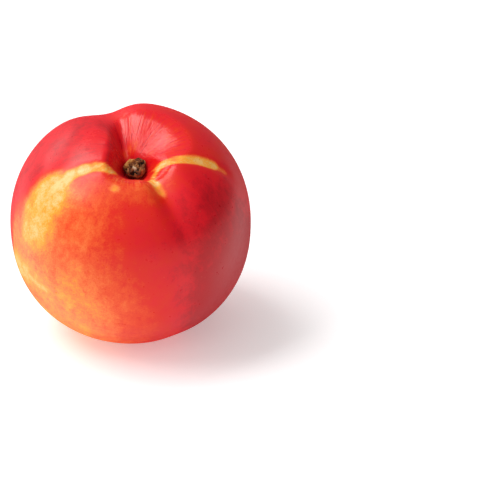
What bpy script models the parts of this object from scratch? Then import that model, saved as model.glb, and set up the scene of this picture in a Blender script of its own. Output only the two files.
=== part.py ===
"""A nectarine that rests on a level surface, with its stem end leaning towards the front.

Lengths are in metres. +Z is up, the front faces -Y, and the origin is on the surface, under the middle of
the fruit. The fruit grew as one solid. The woody stub of its stalk is a second solid, seated on the floor of
the stem cavity.

Both are shaped in the fruit's own frame, where the stalk's axis is +Z. A point there has a polar angle, from
0 at the stalk to 180 degrees at the tip, and a heading round the stalk, from 0 at the front through 90 on the
right.
"""

import math

import bmesh
import bpy
import numpy as np
from mathutils import Matrix, Vector, noise

# The fruit's profile: a superellipse, shorter and a little squarer below its widest ring than above it.
HALF_WIDTH = 0.0347
TOP_HEIGHT = 0.0330
BOTTOM_HEIGHT = 0.0306
TOP_SQUARENESS = 2.30
BOTTOM_SQUARENESS = 2.32

# The stem cavity: a steep well round the stalk, widest at the front on the right, and behind it and on its
# right a long even slope, which ends in a crisp rim. A straight wall closes the slope on the left. Round them
# all, the shoulders roll inwards a little.
CAVITY_DEPTH = 0.0106
WELL_ANGLE = 7.6
WELL_WIDENING = 11.5
WELL_HEADING = 30.0
WELL_SPREAD = 80.0
SLOPE_ANGLE = 8.0
OPEN_HEADING = 145.0
OPEN_SPREAD = 95.0
OPEN_EXTENT = 25.0
RIM_SOFTNESS = 0.035
SEAM_SOFTNESS = 0.0012
WALL_TOP = -0.0066
WALL_FOOT = -0.0020
ROLL_DEPTH = 0.0010
ROLL_ANGLE = 24.0

# The suture: a furrow from the cavity down the front to the tip. It is deepest and sharpest where it leaves
# the cavity, its right side slopes more gently, and it bends a little to the left on its way down.
SUTURE_HEADING = 36.0
SUTURE_BEND = 0.1
SUTURE_RIGHT_WIDTH = 0.0048
SUTURE_LEFT_WIDTH = 0.0045
SUTURE_SHARPNESS = 0.0025
SUTURE_SHARP_ANGLE = 45.0
SUTURE_DEPTH = 0.0007
SUTURE_FADE_ANGLE = 120.0
MOUTH_DEPTH = 0.0030
MOUTH_ANGLE = 27.0
MOUTH_SPREAD = 15.0

# The furrow on the back: it spreads and fades below the shoulder, and its left side slopes more gently.
BACK_HEADING = 194.0
BACK_DEPTH = 0.0030
BACK_WIDTH = 0.0010
BACK_LEFT_SPREAD = 18.0
BACK_RIGHT_SPREAD = 13.0
BACK_START_ANGLE = 11.0
BACK_FADE_ANGLE = 86.0

# The straight, shallow mark a branch pressed across the shoulders, in front of the stalk.
BRANCH_FORWARD = 0.0058
BRANCH_SLANT = 7.0
BRANCH_DEPTH = 0.0005
BRANCH_HALF_WIDTH = 0.0018
BRANCH_LEFT = (-0.0225, -0.0060)
BRANCH_RIGHT = (0.0090, 0.0290)

# The tip at the blossom end.
TIP_HEIGHT = 0.0010
TIP_ANGLE = 6.0

# How the fruit lies.
LEAN = 23.0
FLAT_SPOT_DEPTH = 0.0008
FLAT_SPOT_SNAP = 0.00015
CUT_TOLERANCE = 1e-6

# The stalk's stub: a crumbly knob with a wavy edge, a little to the right and in front of the axis.
STUB_RADIUS = 0.00335
STUB_TAPER = 0.88
STUB_HEIGHT = 0.0036
STUB_GAP = 0.00065
FLOOR_LEVEL = TOP_HEIGHT - CAVITY_DEPTH - ROLL_DEPTH
FLOOR_STEPS = 12
STUB_LOBES = 3
STUB_LOBE_DEPTH = 0.07
STUB_LOBE_TURN = 0.6
STUB_RIDGES = 7
STUB_RIDGE_DEPTH = 0.05
STUB_ROUGHNESS = 0.00025
STUB_GRAIN = 600.0
STUB_RIGHTWARD = 0.0016
STUB_FORWARD = 0.0010

# How finely the shapes are divided. The fruit's rings are closer together in the cavity.
RINGS = 44
SEGMENTS = 72
RING_CROWDING = 0.6
RING_POWER = 1.4
STUB_SEGMENTS = 26
# The stub's outline, ring by ring from the middle of its top to the middle of its base: how far out it is and
# how high, each from 0 to 1.
STUB_OUTLINE = (
    (0, 1),
    (0.28, 1),
    (0.55, 1),
    (0.8, 1),
    (0.94, 0.95),
    (1, 0.75),
    (1.03, 0.4),
    (0.9, 0.05),
    (0.65, 0),
    (0.35, 0),
    (0, 0),
)

SKIN_COLOUR = (0.55, 0.06, 0.03)
SKIN_ROUGHNESS = 0.35
STUB_COLOUR = (0.13, 0.06, 0.025)
STUB_FINISH = 0.8


def bell(value, spread):
    return np.exp(-((value / spread) ** 2))


def turned(heading, other_degrees):
    """The angle from a heading in degrees to these headings, from -pi to pi."""
    return (heading - math.radians(other_degrees) + math.pi) % math.tau - math.pi


def profile_radius(polar):
    """The distance from the middle of the fruit to its superellipse."""
    above = polar < math.pi / 2
    height = np.where(above, TOP_HEIGHT, BOTTOM_HEIGHT)
    squareness = np.where(above, TOP_SQUARENESS, BOTTOM_SQUARENESS)
    across = np.abs(np.sin(polar) / HALF_WIDTH) ** squareness
    along = np.abs(np.cos(polar) / height) ** squareness
    return (across + along) ** (-1 / squareness)


def smooth(value, start, end):
    """A soft step from 0 at the start to 1 at the end."""
    share = np.clip((value - start) / (end - start), 0, 1)
    return share * share * (3 - 2 * share)


def cavity(polar, heading, radius):
    """How deep the stem cavity is."""
    degrees = np.degrees(polar)
    widening = np.exp(-((turned(heading, WELL_HEADING) / math.radians(WELL_SPREAD)) ** 4))
    well = WELL_ANGLE + WELL_WIDENING * widening
    steep = CAVITY_DEPTH * np.exp(-((degrees / well) ** 4))
    opening = np.exp(-((turned(heading, OPEN_HEADING) / math.radians(OPEN_SPREAD)) ** 4))
    inside = 1 - degrees / (SLOPE_ANGLE + OPEN_EXTENT * opening)
    slope = CAVITY_DEPTH * (inside + np.hypot(inside, RIM_SOFTNESS)) / 2
    slope = slope * smooth(radius * np.sin(polar) * np.sin(heading), WALL_TOP, WALL_FOOT)
    both = (steep + slope + np.hypot(steep - slope, SEAM_SOFTNESS) - SEAM_SOFTNESS) / 2
    return both + ROLL_DEPTH * bell(degrees, ROLL_ANGLE)


def suture(polar, heading, radius):
    """How deep the suture is."""
    degrees = np.degrees(polar)
    depth = SUTURE_DEPTH * np.exp(-((degrees / SUTURE_FADE_ANGLE) ** 4))
    depth = depth + MOUTH_DEPTH * bell(degrees - MOUTH_ANGLE, MOUTH_SPREAD)
    angle = turned(heading - math.radians(SUTURE_HEADING) + SUTURE_BEND * polar, 0)
    off_line = radius * np.sin(polar) * angle
    left = SUTURE_LEFT_WIDTH - SUTURE_SHARPNESS * bell(degrees, SUTURE_SHARP_ANGLE)
    return depth * bell(off_line, np.where(off_line > 0, SUTURE_RIGHT_WIDTH, left))


def back_furrow(polar, heading, radius):
    """How deep the furrow on the back is."""
    out = radius * np.sin(polar)
    angle = turned(heading, BACK_HEADING)
    spread = np.where(angle > 0, math.radians(BACK_LEFT_SPREAD), math.radians(BACK_RIGHT_SPREAD))
    degrees = np.degrees(polar)
    depth = BACK_DEPTH * (1 - bell(degrees, BACK_START_ANGLE)) * np.exp(-((degrees / BACK_FADE_ANGLE) ** 4))
    return depth * bell(out * angle, BACK_WIDTH + out * spread)


def branch_mark(x, y, ends):
    """How deep a stretch of the branch's mark is, between its two ends."""
    slant = math.radians(BRANCH_SLANT)
    off_line = (y + BRANCH_FORWARD) * math.cos(slant) - x * math.sin(slant)
    middle = (ends[0] + ends[1]) / 2
    along = np.exp(-(((x - middle) / (ends[1] - middle)) ** 6))
    return BRANCH_DEPTH * along * bell(off_line, BRANCH_HALF_WIDTH)


def fruit_radius(polar, heading):
    """The distance from the middle of the fruit to its skin."""
    radius = profile_radius(polar)
    radius = radius - cavity(polar, heading, radius)
    radius = radius - suture(polar, heading, radius) - back_furrow(polar, heading, radius)
    x = radius * np.sin(polar) * np.sin(heading)
    y = -radius * np.sin(polar) * np.cos(heading)
    above = polar < math.pi / 2
    radius = radius - above * (branch_mark(x, y, BRANCH_LEFT) + branch_mark(x, y, BRANCH_RIGHT))
    return radius + TIP_HEIGHT * bell(math.pi - polar, math.radians(TIP_ANGLE))


def fruit_points(polar, heading):
    """Points on the skin, in the fruit's own frame."""
    radius = fruit_radius(polar, heading)
    across = radius * np.sin(polar)
    return np.stack((across * np.sin(heading), -across * np.cos(heading), radius * np.cos(polar)), axis=-1)


def from_sphere(segments, rings, shape):
    """A closed mesh made from a sphere, whose vertices the shape places by their polar angle and heading."""
    mesh = bmesh.new()
    bmesh.ops.create_uvsphere(mesh, u_segments=segments, v_segments=rings, radius=1)
    x, y, z = np.array([vertex.co for vertex in mesh.verts]).T
    for vertex, point in zip(mesh.verts, shape(np.arccos(np.clip(z, -1, 1)), np.arctan2(x, -y))):
        vertex.co = point
    return mesh


def fruit_shape(polar, heading):
    share = polar / math.pi
    crowded = math.pi * (RING_CROWDING * share**RING_POWER + (1 - RING_CROWDING) * share)
    return fruit_points(crowded, heading)


def floor_height(x, y):
    """How high the skin is, in the fruit's own frame, at points on the cavity's floor."""
    heading = np.arctan2(x, -y)
    height = np.full(len(x), FLOOR_LEVEL)
    for _ in range(FLOOR_STEPS):
        height = fruit_points(np.arctan2(np.hypot(x, y), height), heading)[:, 2]
    return height


def stub_shape(polar, heading):
    ring = np.rint(polar / math.pi * (len(STUB_OUTLINE) - 1)).astype(int)
    across, up = np.array(STUB_OUTLINE)[ring].T
    lobes = STUB_LOBE_DEPTH * np.sin(STUB_LOBES * heading + STUB_LOBE_TURN)
    edge = 1 + lobes + STUB_RIDGE_DEPTH * np.sin(STUB_RIDGES * heading)
    out = STUB_RADIUS * edge * across * (1 - (1 - STUB_TAPER) * up)
    x = out * np.sin(heading) + STUB_RIGHTWARD
    y = -out * np.cos(heading) - STUB_FORWARD
    base = floor_height(x, y) + STUB_GAP
    grain = np.array([noise.noise(Vector(point) * STUB_GRAIN) for point in zip(x, y, up)])
    crown = FLOOR_LEVEL + STUB_HEIGHT + STUB_ROUGHNESS * grain
    return np.stack((x, y, base + (crown - base) * up), axis=-1)


def placement(mesh):
    """The turn and the shift that lay the fruit on the surface, over the origin."""
    lean = Matrix.Rotation(math.radians(LEAN), 4, "X")
    points = np.array([lean @ vertex.co for vertex in mesh.verts])
    low, high = points.min(axis=0), points.max(axis=0)
    middle = (low + high) / 2
    return Matrix.Translation((-middle[0], -middle[1], -low[2] - FLAT_SPOT_DEPTH)) @ lean


def cut_flat_spot(mesh, place):
    """Cut off what the placement puts below the surface, and close the cut with one face."""
    mesh.transform(place)
    for vertex in mesh.verts:
        if abs(vertex.co.z) < FLAT_SPOT_SNAP:
            vertex.co.z = 0
    everything = mesh.verts[:] + mesh.edges[:] + mesh.faces[:]
    bmesh.ops.bisect_plane(
        mesh, geom=everything, dist=CUT_TOLERANCE, plane_co=(0, 0, 0), plane_no=(0, 0, 1), clear_inner=True
    )
    bmesh.ops.edgeloop_fill(mesh, edges=[edge for edge in mesh.edges if edge.is_boundary])
    mesh.transform(place.inverted())


def add_object(name, mesh, colour, roughness, parent):
    bmesh.ops.recalc_face_normals(mesh, faces=mesh.faces)
    if mesh.calc_volume(signed=True) < 0:
        bmesh.ops.reverse_faces(mesh, faces=mesh.faces)
    data = bpy.data.meshes.new(name)
    mesh.to_mesh(data)
    mesh.free()
    data.shade_smooth()
    material = bpy.data.materials.new(name)
    material.use_nodes = True
    shader = material.node_tree.nodes["Principled BSDF"]
    shader.inputs["Base Color"].default_value = (*colour, 1)
    shader.inputs["Roughness"].default_value = roughness
    data.materials.append(material)
    thing = bpy.data.objects.new(name, data)
    thing.parent = parent
    bpy.context.scene.collection.objects.link(thing)


def main():
    for thing in list(bpy.data.objects):
        bpy.data.objects.remove(thing)
    fruit = from_sphere(SEGMENTS, RINGS, fruit_shape)
    stub = from_sphere(STUB_SEGMENTS, len(STUB_OUTLINE) - 1, stub_shape)
    place = placement(fruit)
    cut_flat_spot(fruit, place)
    frame = bpy.data.objects.new("fruit_frame", None)
    frame.matrix_world = place
    bpy.context.scene.collection.objects.link(frame)
    add_object("fruit", fruit, SKIN_COLOUR, SKIN_ROUGHNESS, frame)
    add_object("stem_stub", stub, STUB_COLOUR, STUB_FINISH, frame)


main()
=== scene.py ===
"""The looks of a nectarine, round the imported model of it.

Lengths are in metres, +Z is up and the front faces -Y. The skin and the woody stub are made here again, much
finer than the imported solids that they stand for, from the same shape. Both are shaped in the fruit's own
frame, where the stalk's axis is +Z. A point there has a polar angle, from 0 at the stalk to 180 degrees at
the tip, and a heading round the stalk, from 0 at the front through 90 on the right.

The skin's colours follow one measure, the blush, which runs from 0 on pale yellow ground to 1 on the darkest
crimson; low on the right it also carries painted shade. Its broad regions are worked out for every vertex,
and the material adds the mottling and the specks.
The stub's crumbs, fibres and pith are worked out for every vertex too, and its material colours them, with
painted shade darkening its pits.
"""

import math

import bpy
import numpy as np
from mathutils import Matrix, Vector, noise

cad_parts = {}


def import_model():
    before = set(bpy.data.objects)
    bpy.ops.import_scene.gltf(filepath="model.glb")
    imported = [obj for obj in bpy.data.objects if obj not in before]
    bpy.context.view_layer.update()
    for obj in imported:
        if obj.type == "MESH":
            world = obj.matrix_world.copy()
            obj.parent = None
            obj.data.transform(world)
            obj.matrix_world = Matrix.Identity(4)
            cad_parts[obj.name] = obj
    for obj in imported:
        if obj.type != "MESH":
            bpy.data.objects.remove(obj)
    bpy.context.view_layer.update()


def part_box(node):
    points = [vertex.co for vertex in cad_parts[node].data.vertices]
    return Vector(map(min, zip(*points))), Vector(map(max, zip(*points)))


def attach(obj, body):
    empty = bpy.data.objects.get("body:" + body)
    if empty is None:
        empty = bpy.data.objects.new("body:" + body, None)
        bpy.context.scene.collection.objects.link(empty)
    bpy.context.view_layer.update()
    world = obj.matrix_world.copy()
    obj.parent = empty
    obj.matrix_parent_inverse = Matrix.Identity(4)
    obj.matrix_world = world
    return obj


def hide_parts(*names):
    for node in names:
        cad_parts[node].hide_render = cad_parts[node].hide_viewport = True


# The materials read places, and give heights, in millimetres.
MILLIMETRE = 0.001

# The powers of the bells with a flat top that shape the hollows, and of those that end the branch's mark.
FLAT_TOP = 4
FLATTEST_TOP = 6

# The fruit's profile: a superellipse, shorter and a little squarer below its widest ring than above it.
HALF_WIDTH = 0.0347
TOP_HEIGHT = 0.0330
BOTTOM_HEIGHT = 0.0306
TOP_SQUARENESS = 2.30
BOTTOM_SQUARENESS = 2.32

# The stem cavity: a steep well round the stalk, widest at the front on the right, and behind it and on its
# right a long even slope, which ends in a crisp rim. A straight wall closes the slope on the left. Round them
# all, the shoulders roll inwards a little.
CAVITY_DEPTH = 0.0106
WELL_ANGLE = 7.6
WELL_WIDENING = 11.5
WELL_HEADING = 30.0
WELL_SPREAD = 80.0
SLOPE_ANGLE = 8.0
OPEN_HEADING = 145.0
OPEN_SPREAD = 95.0
OPEN_EXTENT = 25.0
RIM_SOFTNESS = 0.035
SEAM_SOFTNESS = 0.0012
WALL_TOP = -0.0066
WALL_FOOT = -0.0020
ROLL_DEPTH = 0.0010
ROLL_ANGLE = 24.0

# The suture: a furrow from the cavity down the front to the tip. It is deepest and sharpest where it leaves
# the cavity, its right side slopes more gently, and it bends a little to the left on its way down.
SUTURE_HEADING = 36.0
SUTURE_BEND = 0.1
SUTURE_RIGHT_WIDTH = 0.0048
SUTURE_LEFT_WIDTH = 0.0045
SUTURE_SHARPNESS = 0.0025
SUTURE_SHARP_ANGLE = 45.0
SUTURE_DEPTH = 0.0007
SUTURE_FADE_ANGLE = 120.0
MOUTH_DEPTH = 0.0030
MOUTH_ANGLE = 27.0
MOUTH_SPREAD = 15.0

# The furrow on the back: it spreads and fades below the shoulder, and its left side slopes more gently.
BACK_HEADING = 194.0
BACK_DEPTH = 0.0030
BACK_WIDTH = 0.0010
BACK_LEFT_SPREAD = 18.0
BACK_RIGHT_SPREAD = 13.0
BACK_START_ANGLE = 11.0
BACK_FADE_ANGLE = 86.0

# The straight, shallow mark a branch pressed across the shoulders, in front of the stalk.
BRANCH_FORWARD = 0.0058
BRANCH_SLANT = 7.0
BRANCH_DEPTH = 0.0005
BRANCH_HALF_WIDTH = 0.0018
BRANCH_LEFT = (-0.0225, -0.0060)
BRANCH_RIGHT = (0.0090, 0.0290)

# The tip at the blossom end.
TIP_HEIGHT = 0.0010
TIP_ANGLE = 6.0

# How the fruit lies.
LEAN = 23.0
FLAT_SPOT_DEPTH = 0.0008

# The stalk's stub: a crumbly knob with a wavy edge, a little to the right and in front of the axis.
STUB_RADIUS = 0.00335
STUB_TAPER = 0.88
STUB_HEIGHT = 0.0036
STUB_GAP = 0.00065
FLOOR_LEVEL = TOP_HEIGHT - CAVITY_DEPTH - ROLL_DEPTH
FLOOR_STEPS = 12
STUB_LOBES = 3
STUB_LOBE_DEPTH = 0.07
STUB_LOBE_TURN = 0.6
STUB_RIDGES = 7
STUB_RIDGE_DEPTH = 0.05
STUB_RIGHTWARD = 0.0016
STUB_FORWARD = 0.0010
# Its outline from the middle of its top to the middle of its base: how far out and how high, from 0 to 1.
STUB_OUTLINE = (
    (0, 1),
    (0.28, 1),
    (0.55, 1),
    (0.8, 1),
    (0.94, 0.95),
    (1, 0.75),
    (1.03, 0.4),
    (0.9, 0.05),
    (0.65, 0),
    (0.35, 0),
    (0, 0),
)
STUB_RINGS = 90
STUB_SEGMENTS = 150
# Its broken wood: crumbs with pits between them, a ridge of pale fibres along the back on the left, and a bit
# of pith near the middle. The fibres and the pith each have a path, its half width, and how softly it ends
# towards the front and towards the back, in shares of the stub's radius, to the right and then to the front.
CRUMB_HEIGHT = 0.00050
CRUMB_SIZE = 0.0011
PIT_DEPTH = 0.0011
PIT_SIZE = 0.0019
FIBRE_PLACE = (((-0.80, -0.06), (-0.62, -0.46), (-0.20, -0.66)), 0.10, 0.20, 0.20)
FIBRE_HEIGHT = 0.00065
PITH_PLACE = (((-0.10, 0.34), (0.02, 0.42)), 0.08, 0.10, 0.10)
PITH_HEIGHT = 0.0005
# The noise values between which a pit forms, and how much painted shade darkens the wood in a pit.
PIT_SPAN = (0.05, 0.45)
PIT_SHADE = 1.5
# How far the crumbs pull the stub's side inwards, as a share of its radius.
SIDE_CRUMBLE = 0.06
# The cover between which the colour of the fibres and of the pith comes in.
COVER_SPAN = (0.1, 0.6)
# The noise of the crumbs and of the pits: a seed for each, and for both how fast the octaves fade, how much
# finer each octave is than the last, and how many there are.
CRUMB_SEED = 3.1
PIT_SEED = 7.7
OCTAVE_FADING = 0.8
OCTAVE_STEP = 2.0
OCTAVES = 3

# How finely the skin is divided. Its rings are closer together in the cavity.
RINGS = 236
SEGMENTS = 408
RING_CROWDING = 0.6
RING_POWER = 1.4

# The camera, in front of the fruit and above it, aimed to the right of it and below it.
CAMERA_ELEVATION = 24.0
CAMERA_DISTANCE = 0.55
CAMERA_LENS = 136.3
CAMERA_SENSOR = 36.0
AIM_RIGHT = 0.0343
AIM_DOWN = 0.0085

# The studio is white, and darker towards the right of the camera and low down.
DARK_AZIMUTH = 110.0
DARK_ELEVATION = -15.0
DARK_RANGE = {"From Min": -0.7, "From Max": 0.7, "To Min": 0.75, "To Max": 0.18}

# The white floor glows a little, as one lit from below does, so shadows on it stay light.
FLOOR_REACH = 3.0
FLOOR_SOCKETS = {
    "Base Color": (0.92, 0.92, 0.92, 1),
    "Roughness": 0.7,
    "Emission Color": (1, 1, 1, 1),
    "Emission Strength": 0.30,
}

# The softboxes face straight down. Each has a place from the middle of the fruit, a turn in degrees about the
# vertical, a width, a length and a radiance. Before the turn, its length runs from front to back.
KEY = {"place": (-0.434, -0.021, 0.70), "turn": 45, "width": 0.69, "length": 0.36, "radiance": 7.0}
FILL = {"place": (-0.85, 0.80, 0.70), "turn": 0, "width": 0.70, "length": 0.58, "radiance": 2.2}

# Blush grows from left to right: these say how much there is on the left, and how much more the middle and
# the right have. Spans are shares of the fruit's half width, in its own frame, unless said otherwise.
LEFT_BLUSH = 0.45
MIDDLE_BLUSH = 0.33
MIDDLE_SPAN = (-0.45, 0.14)
RIGHT_BLUSH = 0.19
RIGHT_SPAN = (0.10, 0.80)
# Towards the tip it fades on the left and deepens on the right. The deepening low on the right is partly the
# skin's own blush and partly painted shade.
LOW_LEFT_BLUSH = -0.17
LOW_RIGHT_BLUSH_AND_SHADE = 0.13
LOW_SPAN = (0.60, 0.0)
LOW_ACROSS_SPAN = (0.05, 0.60)
# It is even round the front of the cavity, and that ends on the right. The first span is in degrees from
# the stalk.
LIP_BLUSH = 0.55
LIP_SPAN = (42.0, 27.0)
LIP_RIGHT_SPAN = (0.50, 0.28)
# It covers the whole back, most on the left, along an edge that leans with height.
BACK_LEFT_BLUSH = 0.92
BACK_RIGHT_BLUSH = 0.78
BACK_ACROSS_SPAN = (-0.70, 0.40)
BACK_SLANT = 0.25
BACK_SPAN = (0.24, -0.16)
# It is even again inside the cavity, where the skin is also at its glossiest. These spans are of its depth.
HOLLOW_BLUSH = 0.62
HOLLOW_SPAN = (0.0012, 0.0035)
GLOSS_SPAN = (0.0002, 0.0012)
# Faint streaks run from the stalk to the tip, on the flow map: how much it changes for each radian round the
# stalk, and for each radian towards the tip.
FLOW_TURNS = 14.0
FLOW_LENGTHS = 3.0

# Places where the pale ground shows. Each is a path over the skin, its half width, how softly it ends towards
# the front and towards the back, and the share of the blush that it takes away. The path and the widths are
# in degrees from the stalk: first to the right, then to the front.
BARE_PLACES = {
    "left_streak": (((-10, 14), (-16.5, 12.2), (-22, 12.8)), 1.9, 2.2, 2.4, 0.72),
    "left_streak_end": (((-22, 12.8), (-27, 13.8), (-34, 17)), 1.9, 2.6, 2.6, 0.77),
    "left_patch_top": (((-34, 15), (-42, 17)), 3.0, 7.0, 6.0, 0.60),
    "left_patch": (((-42, 19), (-49, 23), (-52, 29)), 7.0, 14.0, 8.0, 0.68),
    "left_edge": (((-88, 32), (-80, 44)), 3.0, 8.0, 8.0, 0.55),
    "low_left_streak": (((-75, 50), (-70, 57), (-62, 64)), 0.7, 2.0, 2.0, 0.5),
    "spot": (((-7.6, 25.3), (-7.0, 26.0)), 0.5, 3.2, 2.8, 0.50),
    "mouth": (((12.2, 18.5), (13.6, 20.5)), 1.4, 2.6, 1.6, 0.74),
    "mouth_fade": (((13.6, 20.5), (16.5, 25.5)), 1.2, 3.2, 2.4, 0.60),
    "right_rim": (((12.5, 18.5), (14.6, 12), (17.5, 7.8)), 0.5, 1.5, 1.3, 0.66),
    "right_streak": (((17.5, 8.2), (25, 7.4), (33, 6.0), (42, 5.0)), 1.7, 1.5, 3.0, 0.77),
    "right_streak_end": (((42, 5.0), (49, 5.0)), 0.6, 1.6, 3.0, 0.45),
    "behind_stalk": (((-1, -11), (3, -13)), 1.0, 4.0, 5.0, 0.30),
}
# A red place on the far left, told in the same way. It brings the blush up to its strength.
RED_PLACE = (((-62, -4), (-72, 3), (-84, 8)), 5.0, 18.0, 9.0, 0.74)

# The skin's colours, from no blush to the most of it. All colours are linear red, green and blue.
CREAM = (0.88, 0.56, 0.22)
GOLD = (0.92, 0.36, 0.028)
SALMON = (0.90, 0.19, 0.040)
SCARLET = (0.84, 0.080, 0.014)
RED = (0.76, 0.018, 0.006)
CRIMSON = (0.77, 0.006, 0.017)
# The darkest stop, which the right side reaches, most of all low down, is partly the skin's own maroon and
# partly painted shade.
MAROON_AND_SHADE = (0.49, 0.002, 0.010)
BLUSH_STOPS = (
    (0, CREAM),
    (0.18, GOLD),
    (0.34, SALMON),
    (0.50, SCARLET),
    (0.66, RED),
    (0.84, CRIMSON),
    (1, MAROON_AND_SHADE),
)
# What noise adds to the blush. Scales are for each millimetre, or for each unit of the flow map.
PATCHES = {"scale": 0.16, "detail": 3.0, "roughness": 0.55, "distortion": 0.6, "amount": 0.34}
MOTTLE = {"scale": 0.62, "detail": 4.0, "roughness": 0.62, "distortion": 0.4, "amount": 0.40}
FLECKS = {"scale": 2.4, "detail": 3.0, "roughness": 0.7, "amount": 0.40}
STREAKS = {"scale": 1.0, "detail": 3.0, "roughness": 0.6, "amount": 0.16}
# The mottle and the flecks are weaker where there is more blush.
MOTTLE_FADING = {"start": 0.35, "end": 0.85, "at_start": 1.0, "at_end": 0.45}
# Fine creases run up the sides of the cavity. They change the blush, and the skin's height in millimetres.
CREASES = {"scale": 2.2, "detail": 2.0}
CREASE_TINT = -0.7
CREASE_HEIGHT = 0.09
# Dark specks on pale skin and pale specks on red skin: the blush where they begin and where they are full,
# the scale of the cells that they lie in, and their radius as a share of a cell.
DARK_SPECKS = {
    "tint": (0.50, 0.16, 0.03),
    "strength": 0.45,
    "blush_span": (0.62, 0.2),
    "scale": 0.80,
    "radius": 0.17,
}
PALE_SPECKS = {
    "tint": (0.85, 0.35, 0.16),
    "strength": 0.08,
    "blush_span": (0.5, 0.8),
    "scale": 0.42,
    "radius": 0.12,
}
# The share of a speck's radius that is at its full strength, and the share of the cells that have no speck.
SPECK_CORE = 0.5
EMPTY_CELLS = 0.45
# The skin is rougher towards its edges, where the view grazes it, and smoother in the cavity.
EDGE_BLEND = 0.5
EDGE_ROUGHNESS = {"start": 0.50, "end": 0.95, "at_start": 0.30, "at_end": 0.85}
ROUGHNESS_GRAIN = {"scale": 0.9, "detail": 3.0, "amount": 0.14}
CAVITY_ROUGHNESS = -0.13
# Its relief, in millimetres.
WAVES = {"scale": 0.35, "detail": 2.0, "amount": 0.035}
PORES = {"scale": 3.5, "detail": 2.0, "amount": 0.004}
SKIN_SOCKETS = {
    "Specular IOR Level": 0.46,
    "Specular Tint": (1, 0.62, 0.56, 1),
    "Subsurface Weight": 0.10,
    "Subsurface Radius": (1.0, 0.3, 0.15),
    "Subsurface Scale": 0.002,
}

# The stub's wood is darkest in its pits, where shade is painted, and palest on its crumbs.
DARK_WOOD_AND_PIT_SHADE = (0.040, 0.009, 0.003)
BROWN_WOOD = (0.24, 0.060, 0.014)
OLIVE_WOOD = (0.42, 0.17, 0.045)
TAN_WOOD = (0.78, 0.42, 0.16)
WOOD_STOPS = ((0, DARK_WOOD_AND_PIT_SHADE), (0.35, BROWN_WOOD), (0.65, OLIVE_WOOD), (1, TAN_WOOD))
MIDDLE_TONE = 0.46
CRUMB_TONE = 0.55
WOOD_GRAIN = {"scale": 2.2, "detail": 4.0, "roughness": 0.65, "distortion": 0.5, "amount": 0.9}
# The fibres are split into strands, with this much cover between them.
FIBRE = (0.90, 0.42, 0.10)
STRANDS = {"scale": 5.0, "detail": 3.0, "roughness": 0.6, "distortion": 1.5}
STRAND_COVER = 0.75
PITH = (0.90, 0.74, 0.48)
WOOD_ROUGHNESS = 0.66
GRAIN_ROUGHNESS = 0.3
GRAIN_HEIGHT = 0.30
WOOD_SOCKETS = {"Specular IOR Level": 0.4}

# The middle value of Blender's noise.
NOISE_MIDDLE = 0.5
# The places of a Mix node's sockets for colours.
MIX_SHARE, MIX_FIRST, MIX_SECOND = 0, 6, 7
MIX_RESULT = 2


# ---- The fruit's shape ----


def bell(value, spread, power=2):
    """A bump from 1 at 0 down to 0 on both sides. A higher even power makes its top flatter."""
    return np.exp(-((value / spread) ** power))


def turned(heading, other_degrees):
    """The angle from a heading in degrees to these headings, from -pi to pi."""
    return (heading - math.radians(other_degrees) + math.pi) % math.tau - math.pi


def smooth(value, start, end):
    """A soft step from 0 at the start to 1 at the end."""
    share = np.clip((value - start) / (end - start), 0, 1)
    return share * share * (3 - 2 * share)


def mix(first, second, share):
    return first + (second - first) * share


def path_cover(right, front, path, half_width, front_softness, back_softness):
    """How much a widened path covers each point, from 0 to 1, on the flat map of degrees from the stalk."""
    nearest = np.full(len(right), np.inf)
    side = np.zeros(len(right))
    for (x0, y0), (x1, y1) in zip(path, path[1:]):
        length = math.hypot(x1 - x0, y1 - y0)
        along = np.clip(((right - x0) * (x1 - x0) + (front - y0) * (y1 - y0)) / length**2, 0, 1)
        off_right, off_front = right - x0 - along * (x1 - x0), front - y0 - along * (y1 - y0)
        distance = np.hypot(off_right, off_front)
        closer = distance < nearest
        nearest = np.where(closer, distance, nearest)
        side = np.where(closer, off_front, side)
    softness = mix(back_softness, front_softness, smooth(side, -half_width, half_width))
    return 1 - smooth(nearest, half_width, half_width + softness)


def profile_radius(polar):
    """The distance from the middle of the fruit to its superellipse."""
    above = polar < math.pi / 2
    height = np.where(above, TOP_HEIGHT, BOTTOM_HEIGHT)
    squareness = np.where(above, TOP_SQUARENESS, BOTTOM_SQUARENESS)
    across = np.abs(np.sin(polar) / HALF_WIDTH) ** squareness
    along = np.abs(np.cos(polar) / height) ** squareness
    return (across + along) ** (-1 / squareness)


def cavity(polar, heading, radius):
    """How deep the stem cavity is."""
    degrees = np.degrees(polar)
    widening = bell(turned(heading, WELL_HEADING), math.radians(WELL_SPREAD), FLAT_TOP)
    well = WELL_ANGLE + WELL_WIDENING * widening
    steep = CAVITY_DEPTH * bell(degrees, well, FLAT_TOP)
    opening = bell(turned(heading, OPEN_HEADING), math.radians(OPEN_SPREAD), FLAT_TOP)
    inside = 1 - degrees / (SLOPE_ANGLE + OPEN_EXTENT * opening)
    slope = CAVITY_DEPTH * (inside + np.hypot(inside, RIM_SOFTNESS)) / 2
    slope = slope * smooth(radius * np.sin(polar) * np.sin(heading), WALL_TOP, WALL_FOOT)
    both = (steep + slope + np.hypot(steep - slope, SEAM_SOFTNESS) - SEAM_SOFTNESS) / 2
    return both + ROLL_DEPTH * bell(degrees, ROLL_ANGLE)


def suture(polar, heading, radius):
    """How deep the suture is."""
    degrees = np.degrees(polar)
    depth = SUTURE_DEPTH * bell(degrees, SUTURE_FADE_ANGLE, FLAT_TOP)
    depth = depth + MOUTH_DEPTH * bell(degrees - MOUTH_ANGLE, MOUTH_SPREAD)
    angle = turned(heading - math.radians(SUTURE_HEADING) + SUTURE_BEND * polar, 0)
    off_line = radius * np.sin(polar) * angle
    left = SUTURE_LEFT_WIDTH - SUTURE_SHARPNESS * bell(degrees, SUTURE_SHARP_ANGLE)
    return depth * bell(off_line, np.where(off_line > 0, SUTURE_RIGHT_WIDTH, left))


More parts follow.
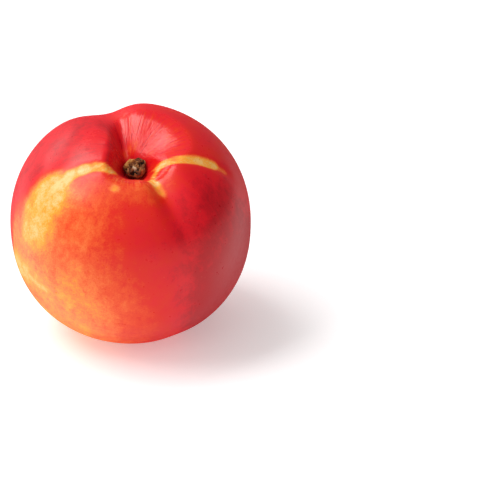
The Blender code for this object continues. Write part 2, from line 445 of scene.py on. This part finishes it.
def back_furrow(polar, heading, radius):
    """How deep the furrow on the back is."""
    out = radius * np.sin(polar)
    angle = turned(heading, BACK_HEADING)
    spread = np.where(angle > 0, math.radians(BACK_LEFT_SPREAD), math.radians(BACK_RIGHT_SPREAD))
    degrees = np.degrees(polar)
    start = 1 - bell(degrees, BACK_START_ANGLE)
    depth = BACK_DEPTH * start * bell(degrees, BACK_FADE_ANGLE, FLAT_TOP)
    return depth * bell(out * angle, BACK_WIDTH + out * spread)


def branch_mark(x, y, ends):
    """How deep a stretch of the branch's mark is, between its two ends."""
    slant = math.radians(BRANCH_SLANT)
    off_line = (y + BRANCH_FORWARD) * math.cos(slant) - x * math.sin(slant)
    middle = (ends[0] + ends[1]) / 2
    along = bell(x - middle, ends[1] - middle, FLATTEST_TOP)
    return BRANCH_DEPTH * along * bell(off_line, BRANCH_HALF_WIDTH)


def fruit_radius(polar, heading):
    """The distance from the middle of the fruit to its skin."""
    radius = profile_radius(polar)
    radius = radius - cavity(polar, heading, radius)
    radius = radius - suture(polar, heading, radius) - back_furrow(polar, heading, radius)
    x = radius * np.sin(polar) * np.sin(heading)
    y = -radius * np.sin(polar) * np.cos(heading)
    above = polar < math.pi / 2
    radius = radius - above * (branch_mark(x, y, BRANCH_LEFT) + branch_mark(x, y, BRANCH_RIGHT))
    return radius + TIP_HEIGHT * bell(math.pi - polar, math.radians(TIP_ANGLE))


def fruit_points(polar, heading):
    """Points on the skin, in the fruit's own frame."""
    radius = fruit_radius(polar, heading)
    across = radius * np.sin(polar)
    return np.stack((across * np.sin(heading), -across * np.cos(heading), radius * np.cos(polar)), axis=-1)


def floor_height(x, y):
    """How high the skin is, in the fruit's own frame, at points on the cavity's floor."""
    heading = np.arctan2(x, -y)
    height = np.full(len(x), FLOOR_LEVEL)
    for _ in range(FLOOR_STEPS):
        height = fruit_points(np.arctan2(np.hypot(x, y), height), heading)[:, 2]
    return height


def noise_at(points, size, seed):
    """Noise from about -1 to 1 at each point, with grains of a size in metres."""
    shift = Vector((seed, seed, seed))
    places = [Vector(point) / size + shift for point in points]
    return np.array([noise.fractal(place, OCTAVE_FADING, OCTAVE_STEP, OCTAVES) for place in places])


def stub_points(share, heading):
    """Points on the stub, in the fruit's own frame, and what its material reads there."""
    knots = np.linspace(0, 1, len(STUB_OUTLINE))
    across, up = [np.interp(share, knots, values) for values in zip(*STUB_OUTLINE)]
    lobes = STUB_LOBE_DEPTH * np.sin(STUB_LOBES * heading + STUB_LOBE_TURN)
    edge = 1 + lobes + STUB_RIDGE_DEPTH * np.sin(STUB_RIDGES * heading)
    out = STUB_RADIUS * edge * across * (1 - (1 - STUB_TAPER) * up)
    right, front = out * np.sin(heading), out * np.cos(heading)
    x, y = right + STUB_RIGHTWARD, -front - STUB_FORWARD
    base = floor_height(x, y) + STUB_GAP

    spots = np.stack((x, y, up * STUB_HEIGHT), axis=-1)
    crumbs = noise_at(spots, CRUMB_SIZE, CRUMB_SEED)
    pits = smooth(noise_at(spots, PIT_SIZE, PIT_SEED), *PIT_SPAN)
    place = (right / STUB_RADIUS, front / STUB_RADIUS)
    fibre = path_cover(*place, *FIBRE_PLACE) * up
    pith = path_cover(*place, *PITH_PLACE) * up
    pits = pits * (1 - np.maximum(fibre, pith))
    relief = CRUMB_HEIGHT * crumbs - PIT_DEPTH * pits + FIBRE_HEIGHT * fibre + PITH_HEIGHT * pith

    crown = FLOOR_LEVEL + STUB_HEIGHT + relief
    inward = 1 - SIDE_CRUMBLE * (1 + crumbs) * np.sin(np.pi * share)
    x, y = right * inward + STUB_RIGHTWARD, -front * inward - STUB_FORWARD
    points = np.stack((x, y, base + (crown - base) * up), axis=-1)
    fields = {
        "place": points / MILLIMETRE,
        # This field also carries the painted shade in the pits, for the wood's colour.
        "height": crumbs - PIT_SHADE * pits,
        "fibre": smooth(fibre, *COVER_SPAN),
        "pith": smooth(pith, *COVER_SPAN),
    }
    return points, fields


def placement(points, box):
    """The turn and the shift that lay the fruit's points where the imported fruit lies."""
    lean = Matrix.Rotation(math.radians(LEAN), 4, "X")
    leaning = points @ np.array(lean.to_3x3()).T
    low, high = leaning.min(axis=0), leaning.max(axis=0)
    middle = (Vector(box[0]) + Vector(box[1])) / 2 - Vector((low + high) / 2)
    return Matrix.Translation((middle.x, middle.y, -low[2] - FLAT_SPOT_DEPTH)) @ lean


def moved(points, matrix):
    return points @ np.array(matrix.to_3x3()).T + np.array(matrix.translation)


# ---- The skin's regions ----


def skin_fields(points, polar, heading):
    """What the skin's material reads on each vertex."""
    across, back, up = (points / HALF_WIDTH).T
    degrees = np.degrees(polar)
    right, front = degrees * np.sin(heading), degrees * np.cos(heading)
    depth = cavity(polar, heading, profile_radius(polar))

    blush = LEFT_BLUSH + MIDDLE_BLUSH * smooth(across, *MIDDLE_SPAN)
    blush = blush + RIGHT_BLUSH * smooth(across, *RIGHT_SPAN)
    low_blush_and_shade = mix(LOW_LEFT_BLUSH, LOW_RIGHT_BLUSH_AND_SHADE, smooth(across, *LOW_ACROSS_SPAN))
    # Low on the right this adds painted shade as well as a deeper blush.
    blush = blush + low_blush_and_shade * smooth(up, *LOW_SPAN)
    lip = smooth(degrees, *LIP_SPAN) * smooth(across, *LIP_RIGHT_SPAN)
    blush = mix(blush, LIP_BLUSH, lip)
    back_blush = mix(BACK_LEFT_BLUSH, BACK_RIGHT_BLUSH, smooth(across, *BACK_ACROSS_SPAN))
    blush = mix(blush, back_blush, smooth(-back - BACK_SLANT * up, *BACK_SPAN))
    blush = mix(blush, HOLLOW_BLUSH, smooth(depth, *HOLLOW_SPAN) * (1 - lip))
    for *place, strength in BARE_PLACES.values():
        blush = blush * (1 - strength * path_cover(right, front, *place))
    *place, strength = RED_PLACE
    blush = np.maximum(blush, strength * path_cover(right, front, *place))

    turns = (np.sin(heading) * FLOW_TURNS, np.cos(heading) * FLOW_TURNS)
    flow = np.stack((*turns, polar * FLOW_LENGTHS), axis=-1)
    return {"place": points / MILLIMETRE, "blush": blush, "flow": flow, "gloss": smooth(depth, *GLOSS_SPAN)}


# ---- Meshes ----


def ring_places(segments, rings):
    """The share of the way from pole to pole, and the heading, of each vertex of a closed mesh of rings."""
    share = np.repeat(np.arange(1, rings) / rings, segments)
    heading = np.tile(np.arange(segments) * math.tau / segments, rings - 1)
    return np.concatenate(([0.0], share, [1.0])), np.concatenate(([0.0], heading, [0.0]))


def ring_faces(segments, rings):
    """The faces between the vertices that ring_places gives."""
    faces = []
    last = 1 + (rings - 1) * segments
    for i in range(segments):
        j = (i + 1) % segments
        faces.append((0, 1 + i, 1 + j))
        for ring in range(rings - 2):
            start = 1 + ring * segments
            faces.append((start + i, start + segments + i, start + segments + j, start + j))
        faces.append((last, last - segments + j, last - segments + i))
    return faces


def add_object(name, data):
    thing = bpy.data.objects.new(name, data)
    bpy.context.scene.collection.objects.link(thing)
    return thing


def add_piece(name, points, faces, fields, material):
    """A smooth mesh object, with the fields that its material reads stored on its vertices."""
    mesh = bpy.data.meshes.new(name)
    mesh.from_pydata(points.tolist(), [], faces)
    mesh.shade_smooth()
    for label, values in fields.items():
        kind, slot = ("FLOAT_VECTOR", "vector") if values.ndim > 1 else ("FLOAT", "value")
        attribute = mesh.attributes.new(label, kind, "POINT")
        attribute.data.foreach_set(slot, values.astype(np.float32).ravel())
    mesh.materials.append(material)
    return add_object(name, mesh)


# ---- Shader nodes ----


def new_material(name, sockets):
    """A material, its node tree and its shader, with some of the shader's sockets set."""
    material = bpy.data.materials.new(name)
    material.use_nodes = True
    shader = material.node_tree.nodes["Principled BSDF"]
    for socket, value in sockets.items():
        shader.inputs[socket].default_value = value
    return material, material.node_tree, shader


def add_node(tree, kind, inputs=(), **settings):
    """A shader node with its settings made, and each input given a value or another node's output."""
    node = tree.nodes.new("ShaderNode" + kind)
    for name, value in settings.items():
        setattr(node, name, value)
    for name, value in dict(inputs).items():
        if isinstance(value, bpy.types.NodeSocket):
            tree.links.new(value, node.inputs[name])
        else:
            node.inputs[name].default_value = value
    return node


def field(tree, name, output="Fac"):
    """A field stored on the vertices: its Fac output for a number, or its Vector output for a place."""
    return add_node(tree, "Attribute", attribute_name=name).outputs[output]


def calculate(tree, operation, *values, clamp=False):
    """Two or more values put together by one operation, from the first to the last."""
    total, *others = values
    for value in others:
        node = add_node(tree, "Math", {0: total, 1: value}, operation=operation, use_clamp=clamp)
        total = node.outputs["Value"]
    return total


def mapped(tree, value, start, end, at_start=0.0, at_end=1.0):
    """A straight slope from one result at the start to another at the end, and level beyond both."""
    inputs = {"Value": value, "From Min": start, "From Max": end, "To Min": at_start, "To Max": at_end}
    return add_node(tree, "MapRange", inputs).outputs["Result"]


def grain(tree, vector, scale, detail, roughness=0.5, distortion=0.0, amount=1.0):
    """Noise round 0, from about minus half the amount to half the amount."""
    look = {"Scale": scale, "Detail": detail, "Roughness": roughness, "Distortion": distortion}
    noise_node = add_node(tree, "TexNoise", {"Vector": vector, **look})
    centred = calculate(tree, "SUBTRACT", noise_node.outputs["Fac"], NOISE_MIDDLE)
    return calculate(tree, "MULTIPLY", centred, amount)


def ramp(tree, share, stops):
    """A colour that runs through the stops, each of which is a position and a colour."""
    node = add_node(tree, "ValToRGB", {"Fac": share})
    elements = node.color_ramp.elements
    elements.remove(elements[1])
    elements[0].position, elements[0].color = stops[0][0], (*stops[0][1], 1)
    for position, colour in stops[1:]:
        elements.new(position).color = (*colour, 1)
    return node.outputs["Color"]


def tinted(tree, colour, tint, share):
    """A colour with a share of it painted over in a tint."""
    inputs = {MIX_SHARE: share, MIX_FIRST: colour, MIX_SECOND: (*tint, 1)}
    return add_node(tree, "Mix", inputs, data_type="RGBA").outputs[MIX_RESULT]


def speckled(tree, colour, tone, place, tint, strength, blush_span, scale, radius):
    """A colour with small dots in scattered cells, where the tone lies within the span or past its end."""
    cells = add_node(tree, "TexVoronoi", {"Vector": place, "Scale": scale})
    dot = mapped(tree, cells.outputs["Distance"], radius, radius * SPECK_CORE)
    parts = add_node(tree, "SeparateColor", {"Color": cells.outputs["Color"]})
    chosen = calculate(tree, "GREATER_THAN", parts.outputs["Red"], EMPTY_CELLS)
    share = calculate(tree, "MULTIPLY", mapped(tree, tone, *blush_span), strength, dot, chosen)
    return tinted(tree, colour, tint, share)


def connect(tree, shader, colour, roughness, height):
    """Link a colour, a roughness and a relief in millimetres to the shader."""
    bump = add_node(tree, "Bump", {"Height": height, "Distance": MILLIMETRE, "Strength": 1.0})
    tree.links.new(colour, shader.inputs["Base Color"])
    tree.links.new(roughness, shader.inputs["Roughness"])
    tree.links.new(bump.outputs["Normal"], shader.inputs["Normal"])


# ---- Materials ----


def skin_material():
    material, tree, shader = new_material("skin", SKIN_SOCKETS)
    place = field(tree, "place", "Vector")
    flow = field(tree, "flow", "Vector")
    blush = field(tree, "blush")
    gloss = field(tree, "gloss")
    creases = calculate(tree, "MULTIPLY", grain(tree, flow, **CREASES), gloss)

    fine = calculate(tree, "ADD", grain(tree, place, **MOTTLE), grain(tree, place, **FLECKS))
    mottle = calculate(tree, "MULTIPLY", fine, mapped(tree, blush, **MOTTLE_FADING))
    patches = grain(tree, place, **PATCHES)
    streaks = grain(tree, flow, **STREAKS)
    crease_tint = calculate(tree, "MULTIPLY", creases, CREASE_TINT)
    tone = calculate(tree, "ADD", blush, patches, mottle, streaks, crease_tint)
    colour = ramp(tree, tone, BLUSH_STOPS)
    for specks in (DARK_SPECKS, PALE_SPECKS):
        colour = speckled(tree, colour, tone, place, **specks)

    facing = add_node(tree, "LayerWeight", {"Blend": EDGE_BLEND}).outputs["Facing"]
    edge = mapped(tree, facing, **EDGE_ROUGHNESS)
    smoother = calculate(tree, "MULTIPLY", gloss, CAVITY_ROUGHNESS)
    roughness = calculate(tree, "ADD", grain(tree, place, **ROUGHNESS_GRAIN), edge, smoother)

    raised = calculate(tree, "MULTIPLY", creases, CREASE_HEIGHT)
    height = calculate(tree, "ADD", grain(tree, place, **WAVES), raised, grain(tree, place, **PORES))
    connect(tree, shader, colour, roughness, height)
    return material


def wood_material():
    material, tree, shader = new_material("stub_wood", WOOD_SOCKETS)
    place = field(tree, "place", "Vector")
    fine = grain(tree, place, **WOOD_GRAIN)
    strands = grain(tree, place, **STRANDS)

    # The height field darkens the colour in the pits with painted shade.
    crumbs = calculate(tree, "MULTIPLY", field(tree, "height"), CRUMB_TONE)
    colour = ramp(tree, calculate(tree, "ADD", crumbs, fine, MIDDLE_TONE), WOOD_STOPS)
    cover = calculate(tree, "ADD", strands, STRAND_COVER)
    fibre = calculate(tree, "MULTIPLY", field(tree, "fibre"), cover, clamp=True)
    colour = tinted(tree, colour, FIBRE, fibre)
    colour = tinted(tree, colour, PITH, field(tree, "pith"))

    rougher = calculate(tree, "MULTIPLY", fine, GRAIN_ROUGHNESS)
    roughness = calculate(tree, "ADD", rougher, WOOD_ROUGHNESS)
    height = calculate(tree, "MULTIPLY", calculate(tree, "ADD", fine, strands), GRAIN_HEIGHT)
    connect(tree, shader, colour, roughness, height)
    return material


# ---- The studio ----


def direction(azimuth, elevation):
    """The way towards a place in the studio. Azimuth 0 is the front and 90 the right."""
    a, e = math.radians(azimuth), math.radians(elevation)
    return Vector((math.sin(a) * math.cos(e), -math.cos(a) * math.cos(e), math.sin(e)))


def make_camera(middle):
    camera = add_object("camera", bpy.data.cameras.new("camera"))
    camera.data.sensor_width = CAMERA_SENSOR
    camera.data.lens = CAMERA_LENS
    back = direction(0, CAMERA_ELEVATION)
    up = direction(180, 90 - CAMERA_ELEVATION)
    camera.location = middle + back * CAMERA_DISTANCE
    aim = middle + Vector((AIM_RIGHT, 0, 0)) - up * AIM_DOWN
    camera.rotation_euler = (aim - camera.location).to_track_quat("-Z", "Y").to_euler()
    bpy.context.scene.camera = camera


def make_softbox(name, middle, place, turn, width, length, radiance):
    lamp = add_object(name, bpy.data.lights.new(name, "AREA"))
    lamp.data.shape = "RECTANGLE"
    lamp.data.size, lamp.data.size_y = width, length
    lamp.data.energy = radiance * width * length * math.pi
    lamp.location = middle + Vector(place)
    lamp.rotation_euler.z = math.radians(turn)


def make_world():
    """White all round, and darker towards the right of the camera and low down."""
    world = bpy.data.worlds.new("studio")
    world.use_nodes = True
    tree = world.node_tree
    around = add_node(tree, "TexCoord").outputs["Generated"]
    dark_way = direction(DARK_AZIMUTH, DARK_ELEVATION)
    towards = add_node(tree, "VectorMath", {0: around, 1: dark_way}, operation="DOT_PRODUCT")
    inputs = {"Value": towards.outputs["Value"], **DARK_RANGE}
    strength = add_node(tree, "MapRange", inputs, interpolation_type="SMOOTHSTEP")
    background = tree.nodes["Background"]
    background.inputs["Color"].default_value = (1, 1, 1, 1)
    tree.links.new(strength.outputs["Result"], background.inputs["Strength"])
    bpy.context.scene.world = world


def make_floor():
    mesh = bpy.data.meshes.new("floor")
    signs = ((-1, -1), (1, -1), (1, 1), (-1, 1))
    corners = [(x * FLOOR_REACH, y * FLOOR_REACH, 0) for x, y in signs]
    mesh.from_pydata(corners, [], [(0, 1, 2, 3)])
    mesh.materials.append(new_material("floor", FLOOR_SOCKETS)[0])
    floor = add_object("floor", mesh)


def main():
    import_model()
    share, heading = ring_places(SEGMENTS, RINGS)
    polar = math.pi * (RING_CROWDING * share**RING_POWER + (1 - RING_CROWDING) * share)
    points = fruit_points(polar, heading)
    place = placement(points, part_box("fruit"))
    middle = place.translation
    make_camera(middle)

    world_points = moved(points, place)
    # The flat spot lies on the floor.
    world_points[:, 2] = np.maximum(world_points[:, 2], 0)
    faces = ring_faces(SEGMENTS, RINGS)
    fields = skin_fields(points, polar, heading)
    skin = add_piece("skin", world_points, faces, fields, skin_material())
    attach(skin, "root")
    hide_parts("fruit")

    stub, fields = stub_points(*ring_places(STUB_SEGMENTS, STUB_RINGS))
    faces = ring_faces(STUB_SEGMENTS, STUB_RINGS)
    wood = add_piece("stub", moved(stub, place), faces, fields, wood_material())
    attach(wood, "root")
    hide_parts("stem_stub")

    make_floor()
    make_world()
    make_softbox("key_softbox", middle, **KEY)
    make_softbox("fill_softbox", middle, **FILL)
    bpy.context.scene.view_settings.view_transform = "Standard"


main()
